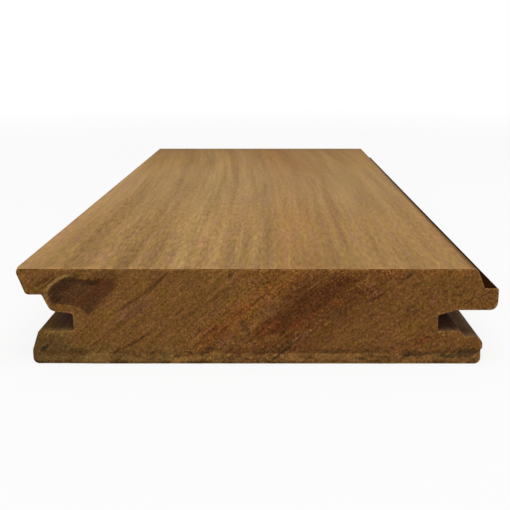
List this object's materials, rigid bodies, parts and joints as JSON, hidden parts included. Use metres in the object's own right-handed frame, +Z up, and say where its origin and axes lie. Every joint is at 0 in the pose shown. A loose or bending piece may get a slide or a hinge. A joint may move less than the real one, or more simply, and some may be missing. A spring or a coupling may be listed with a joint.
{
  "type": "decking board",
  "caption": "Short length of solid hardwood decking with a smooth flat top, a rounded nose on one edge, a tongue on the other and a hidden-clip groove along each side.",
  "frame": {"origin": "middle of the underside, halfway along the board and halfway between the nose tip and the tongue tip", "axes": "+X across the board from the nose to the tongue, +Y along the grain, +Z up out of the walking face"},
  "size_m": [0.145, 0.32, 0.03],
  "materials": {
    "hardwood": "matte"
  },
  "bodies": {
    "root": {"decking_board": "hardwood"}
  },
  "joints": []
}
